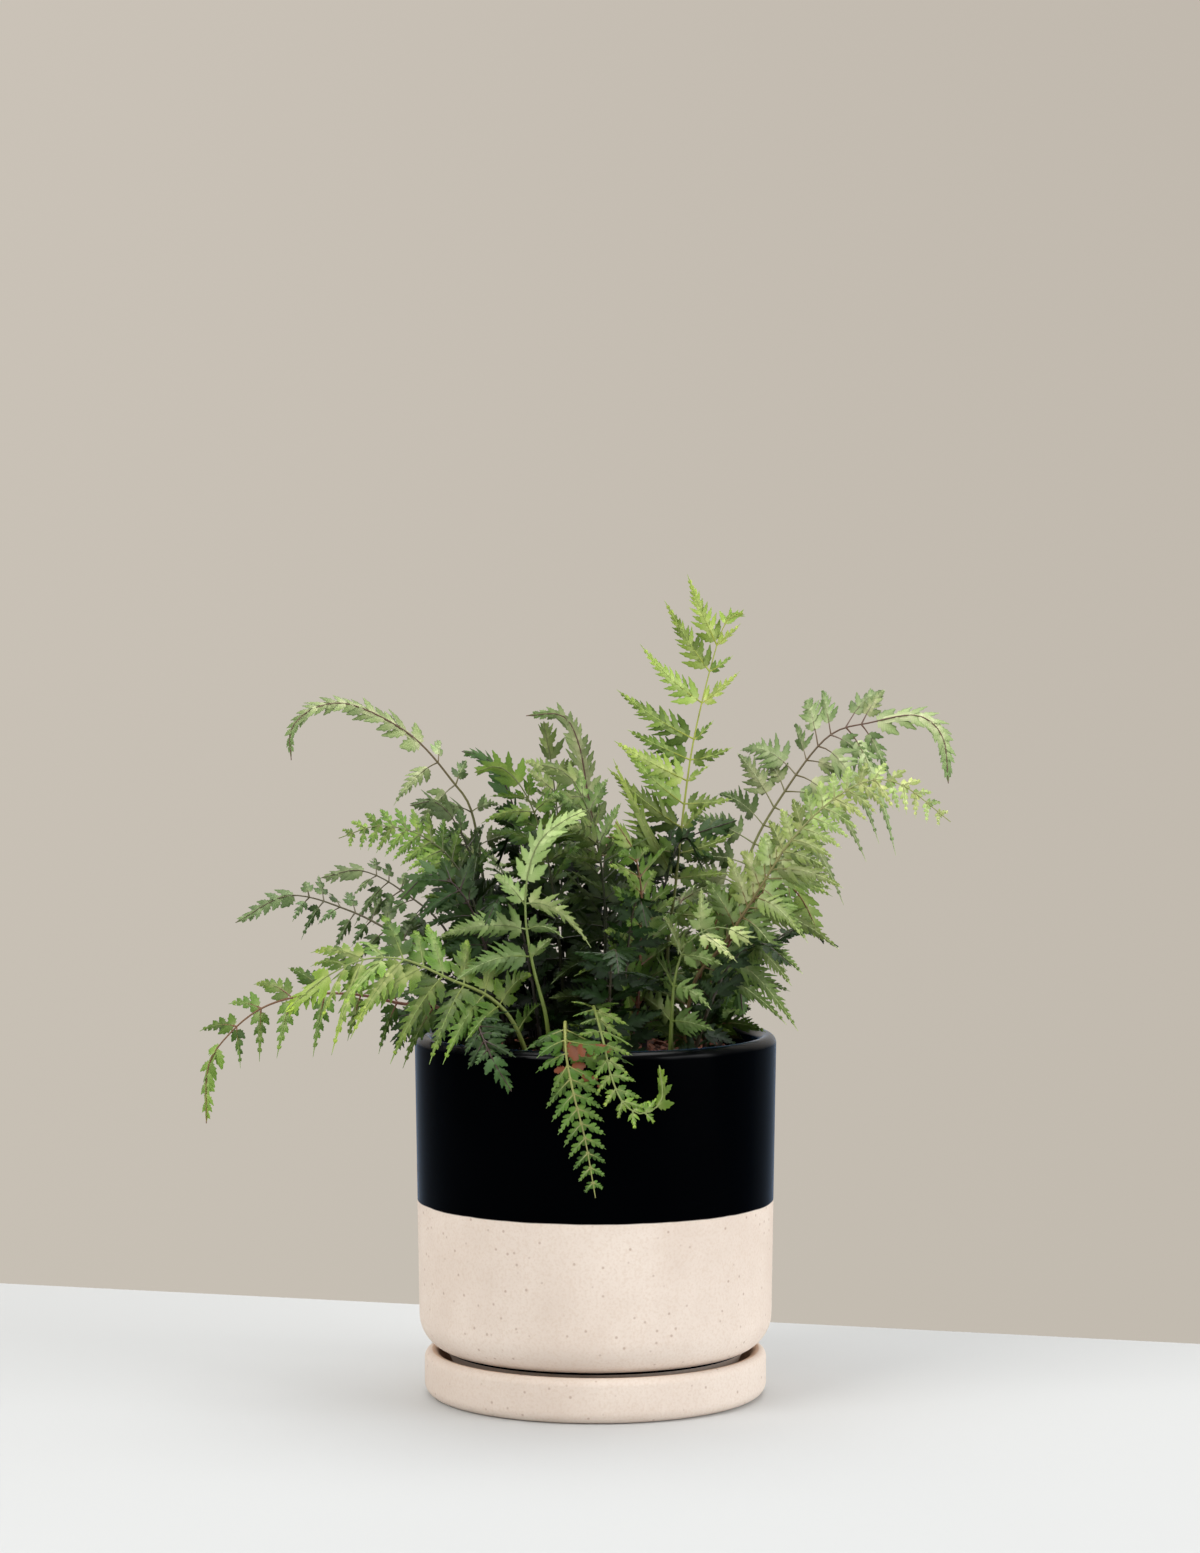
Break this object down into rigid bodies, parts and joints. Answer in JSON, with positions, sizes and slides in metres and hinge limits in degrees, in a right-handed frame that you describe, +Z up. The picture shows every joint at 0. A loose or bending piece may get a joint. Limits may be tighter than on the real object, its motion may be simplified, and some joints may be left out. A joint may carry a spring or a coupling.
{
  "type": "potted fern",
  "caption": "Japanese painted fern with arching divided fronds, growing in bark mix in a round half-glazed pot that stands in a shallow bisque saucer.",
  "frame": {"origin": "centre of the saucer's flat underside", "axes": "+Z up the pot's axis, +X to the right and -Y towards the side that the plant shows to the viewer"},
  "size_m": [0.3119, 0.2131, 0.3399],
  "materials": {
    "saucer": "unglazed bisque, matte",
    "pot": "satin dark blue-black glaze above a level line, bare bisque below it",
    "soil": "loose reddish-brown bark and fibre mix, matte",
    "frond": "matte green, silvery along the ribs, stalks green to purple-brown"
  },
  "bodies": {
    "root": {"saucer": "saucer", "pot": "pot", "soil": "soil", "frond_tall": "frond", "frond_right_front": "frond", "frond_right_arch": "frond", "frond_left_arch": "frond", "frond_left_low": "frond", "frond_left_bright": "frond", "frond_front_drop": "frond", "frond_front_right_drop": "frond", "frond_centre_front": "frond", "frond_left_dark": "frond", "frond_left_mid": "frond", "frond_left_upper": "frond", "frond_left_inner": "frond", "frond_left_behind": "frond", "frond_top_thin": "frond", "frond_top_centre": "frond", "frond_top_left": "frond", "frond_top_left_dark": "frond", "frond_centre_olive": "frond", "frond_centre_upright": "frond", "frond_dark_behind": "frond", "frond_right_curvy": "frond", "frond_right_low": "frond", "frond_right_inner": "frond", "frond_right_hang": "frond", "frond_right_back": "frond", "frond_left_rim": "frond", "frond_front_left_drop": "frond", "frond_back_left": "frond", "frond_back_middle": "frond", "frond_back_right": "frond", "frond_low_1": "frond", "frond_low_2": "frond", "frond_low_3": "frond", "frond_low_4": "frond", "frond_low_5": "frond", "frond_low_6": "frond", "frond_low_7": "frond", "frond_low_8": "frond", "frond_low_9": "frond", "frond_low_10": "frond", "frond_low_11": "frond", "frond_low_12": "frond"}
  },
  "joints": []
}
